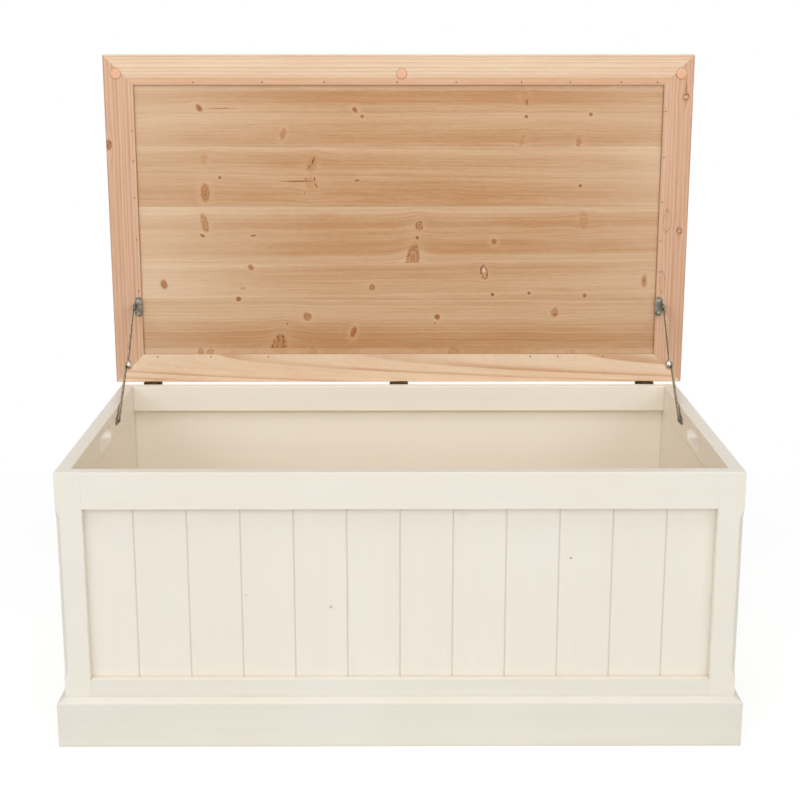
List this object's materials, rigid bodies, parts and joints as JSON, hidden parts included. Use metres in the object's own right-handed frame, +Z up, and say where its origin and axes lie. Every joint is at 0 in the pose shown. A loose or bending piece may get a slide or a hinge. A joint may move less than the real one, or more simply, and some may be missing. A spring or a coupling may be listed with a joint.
{
  "type": "blanket chest",
  "caption": "Painted panelled blanket chest with a plinth, side hand-holds and a hinged pine plank lid held open by two folding stays.",
  "frame": {"origin": "on the floor, midway across the chest and midway through its depth with the lid open", "axes": "+X along the front to the viewer's right, +Y from the front to the back, +Z up"},
  "size_m": [1.022, 0.6004, 1.0055],
  "materials": {
    "cream_paint": "satin cream paint on pine",
    "painted_ply": "satin cream paint on plywood",
    "bare_base": "cream paint on plywood",
    "lid_planks": "clear satin on knotty pine",
    "lid_rails": "clear satin on pine",
    "lid_stiles": "clear satin on pine",
    "hinge_bronze": "dark bronzed brass",
    "stay_steel": "zinc plated",
    "bright_steel": "bright turned steel",
    "screw_steel": "zinc plated",
    "buffer": "soft tan rubber"
  },
  "bodies": {
    "chest": {"back_bottom_rail": "cream_paint", "back_left_stile": "cream_paint", "back_panel": "painted_ply", "back_right_stile": "cream_paint", "back_top_rail": "cream_paint", "base_battens": "bare_base", "base_panel": "bare_base", "centre_hinge_chest_leaf": "hinge_bronze", "chest_screws": "screw_steel", "front_boards": "cream_paint", "front_bottom_rail": "cream_paint", "front_left_stile": "cream_paint", "front_right_stile": "cream_paint", "front_top_rail": "cream_paint", "hinge_pins": "hinge_bronze", "left_boards": "cream_paint", "left_bottom_rail": "cream_paint", "left_front_stile": "cream_paint", "left_hinge_chest_leaf": "hinge_bronze", "left_rear_stile": "cream_paint", "left_stay_side_bracket": "stay_steel", "left_top_rail": "cream_paint", "plinth_front": "cream_paint", "plinth_left": "cream_paint", "plinth_right": "cream_paint", "right_boards": "cream_paint", "right_bottom_rail": "cream_paint", "right_front_stile": "cream_paint", "right_hinge_chest_leaf": "hinge_bronze", "right_rear_stile": "cream_paint", "right_stay_side_bracket": "stay_steel", "right_top_rail": "cream_paint", "stay_side_rivets": "stay_steel"},
    "lid": {"centre_hinge_lid_leaf": "hinge_bronze", "left_hinge_lid_leaf": "hinge_bronze", "left_stay_lid_bracket": "stay_steel", "lid_brads": "screw_steel", "lid_buffers": "buffer", "lid_front_rail": "lid_rails", "lid_left_stile": "lid_stiles", "lid_plank_1": "lid_planks", "lid_plank_2": "lid_planks", "lid_plank_3": "lid_planks", "lid_plank_4": "lid_planks", "lid_plank_5": "lid_planks", "lid_plank_6": "lid_planks", "lid_plank_7": "lid_planks", "lid_rear_rail": "lid_rails", "lid_right_stile": "lid_stiles", "lid_screws": "screw_steel", "right_hinge_lid_leaf": "hinge_bronze", "right_stay_lid_bracket": "stay_steel", "stay_lid_rivets": "stay_steel"},
    "left_lower_arm": {"left_stay_lower_arm": "stay_steel"},
    "left_upper_arm": {"left_stay_upper_arm": "stay_steel", "left_stay_knob": "bright_steel"},
    "right_lower_arm": {"right_stay_lower_arm": "stay_steel"},
    "right_upper_arm": {"right_stay_upper_arm": "stay_steel", "right_stay_knob": "bright_steel"}
  },
  "joints": [
    {"name": "lid_hinge", "type": "hinge", "parent": "chest", "child": "lid", "pos_m": [0, 0.27808, 0.42615], "axis": [1, 0, 0], "range_deg": [0, 90]},
    {"name": "left_lower_arm_pivot", "type": "hinge", "parent": "chest", "child": "left_lower_arm", "pos_m": [-0.474, 0.09878, 0.404], "axis": [1, 0, 0], "range_deg": [-105, 0]},
    {"name": "left_upper_arm_pivot", "type": "hinge", "parent": "lid", "child": "left_upper_arm", "pos_m": [-0.4715, 0.26772, 0.56645], "axis": [1, 0, 0], "range_deg": [-42, 0]},
    {"name": "right_lower_arm_pivot", "type": "hinge", "parent": "chest", "child": "right_lower_arm", "pos_m": [0.474, 0.09878, 0.404], "axis": [1, 0, 0], "range_deg": [-105, 0]},
    {"name": "right_upper_arm_pivot", "type": "hinge", "parent": "lid", "child": "right_upper_arm", "pos_m": [0.4715, 0.26772, 0.56645], "axis": [1, 0, 0], "range_deg": [-42, 0]}
  ],
  "couplings": [
    {"joint": "left_lower_arm_pivot", "follows": "lid_hinge", "ratio": -1.1451},
    {"joint": "left_upper_arm_pivot", "follows": "lid_hinge", "ratio": -0.45588},
    {"joint": "right_lower_arm_pivot", "follows": "lid_hinge", "ratio": -1.1451},
    {"joint": "right_upper_arm_pivot", "follows": "lid_hinge", "ratio": -0.45588}
  ]
}
